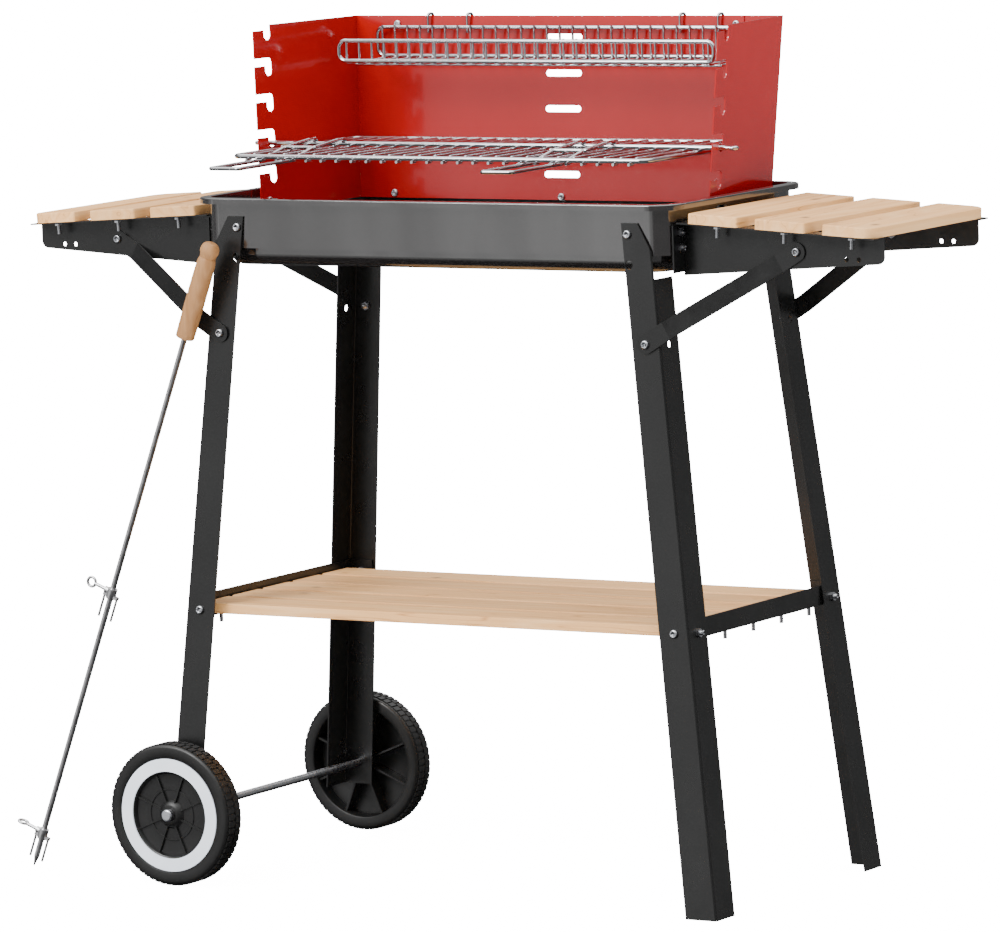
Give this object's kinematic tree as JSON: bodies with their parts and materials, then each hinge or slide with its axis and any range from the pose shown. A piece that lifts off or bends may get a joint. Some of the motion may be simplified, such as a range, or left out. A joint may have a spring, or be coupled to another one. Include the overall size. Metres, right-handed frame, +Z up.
{
  "type": "charcoal grill",
  "caption": "Trolley charcoal grill: open rectangular pan on splayed legs, windshield with grate notches, warming basket, side shelves, lower shelf, wheels and a spit.",
  "frame": {"origin": "centre of the bounding box on the floor", "axes": "+X to the right seen from the front, +Y to the back, +Z up"},
  "size_m": [1.0414, 0.4026, 0.8894],
  "materials": {
    "black_enamel": "gloss",
    "red_enamel": "gloss",
    "black_paint": "satin",
    "zinc": "satin",
    "chrome": "polished",
    "pine": "bare",
    "wheel_plastic": "matte",
    "white_plastic": "satin",
    "spit_steel": "polished"
  },
  "bodies": {
    "frame": {"axle": "zinc", "axle_caps": "zinc", "brace_bolts": "zinc", "brace_front_left": "black_paint", "brace_front_right": "black_paint", "brace_nuts": "zinc", "brace_rear_left": "black_paint", "brace_rear_right": "black_paint", "charcoal_pan": "black_enamel", "left_shelf_board_1": "pine", "left_shelf_board_2": "pine", "left_shelf_board_3": "pine", "leg_front_left": "black_paint", "leg_front_right": "black_paint", "leg_rear_left": "black_paint", "leg_rear_right": "black_paint", "lower_shelf_board_1": "pine", "lower_shelf_board_2": "pine", "lower_shelf_board_3": "pine", "lower_shelf_board_4": "pine", "lower_shelf_board_5": "pine", "lower_shelf_screws": "zinc", "pan_leg_bolts": "zinc", "pan_leg_nuts": "zinc", "right_shelf_board_1": "pine", "right_shelf_board_2": "pine", "right_shelf_board_3": "pine", "shelf_bolts": "zinc", "shelf_bracket_front_left": "black_paint", "shelf_bracket_front_right": "black_paint", "shelf_bracket_rear_left": "black_paint", "shelf_bracket_rear_right": "black_paint", "shelf_nuts": "zinc", "shelf_rail_left": "black_paint", "shelf_rail_right": "black_paint", "side_shelf_screws_left": "zinc", "side_shelf_screws_right": "zinc", "tab_bolts": "zinc", "tab_nuts": "zinc", "windshield_back": "red_enamel", "windshield_bolts": "zinc", "windshield_left_wing": "red_enamel", "windshield_nuts": "zinc", "windshield_right_wing": "red_enamel", "windshield_spacers": "zinc"},
    "wheel_front": {"wheel_front": "wheel_plastic", "wheel_ring_front": "white_plastic"},
    "wheel_rear": {"wheel_rear": "wheel_plastic", "wheel_ring_rear": "white_plastic"},
    "cooking_grate": {"cooking_grate": "chrome", "grate_handle_left": "chrome", "grate_handle_right": "chrome"},
    "warming_basket": {"warming_basket": "chrome"},
    "charcoal_grate": {"charcoal_grate": "black_paint"},
    "spit": {"spit_rod": "spit_steel", "spit_handle": "pine"},
    "fork_upper": {"spit_fork_upper": "spit_steel"},
    "fork_lower": {"spit_fork_lower": "spit_steel"},
    "screw_upper": {"thumbscrew_upper": "spit_steel"},
    "screw_lower": {"thumbscrew_lower": "spit_steel"}
  },
  "joints": [
    {"name": "wheel_front_spin", "type": "hinge", "parent": "frame", "child": "wheel_front", "pos_m": [-0.2988, -0.1825, 0.075], "axis": [0, 1, 0], "continuous": true},
    {"name": "wheel_rear_spin", "type": "hinge", "parent": "frame", "child": "wheel_rear", "pos_m": [-0.2988, 0.1825, 0.075], "axis": [0, 1, 0], "continuous": true},
    {"name": "cooking_grate_lift", "type": "slide", "parent": "frame", "child": "cooking_grate", "axis": [0, 0, 1], "range_m": [0, 0.008]},
    {"name": "warming_basket_lift", "type": "slide", "parent": "frame", "child": "warming_basket", "axis": [0, 0, 1], "range_m": [0, 0.1]},
    {"name": "charcoal_grate_lift", "type": "slide", "parent": "frame", "child": "charcoal_grate", "axis": [0, 0, 1], "range_m": [0, 0.012]},
    {"name": "spit_lift", "type": "slide", "parent": "frame", "child": "spit", "axis": [0, 0, 1], "range_m": [0, 0.1]},
    {"name": "fork_upper_slide", "type": "slide", "parent": "spit", "child": "fork_upper", "axis": [0.3649, 0, 0.931], "range_m": [-0.06, 0.25]},
    {"name": "fork_lower_slide", "type": "slide", "parent": "spit", "child": "fork_lower", "axis": [0.3649, 0, 0.931], "range_m": [0, 0.16]},
    {"name": "thumbscrew_upper_turn", "type": "hinge", "parent": "fork_upper", "child": "screw_upper", "pos_m": [-0.38651, -0.157, 0.301], "axis": [-0.931, 0, 0.3649], "range_deg": [-180, 180]},
    {"name": "thumbscrew_lower_turn", "type": "hinge", "parent": "fork_lower", "child": "screw_lower", "pos_m": [-0.48903, -0.157, 0.0394], "axis": [-0.931, 0, 0.3649], "range_deg": [-180, 180]}
  ]
}
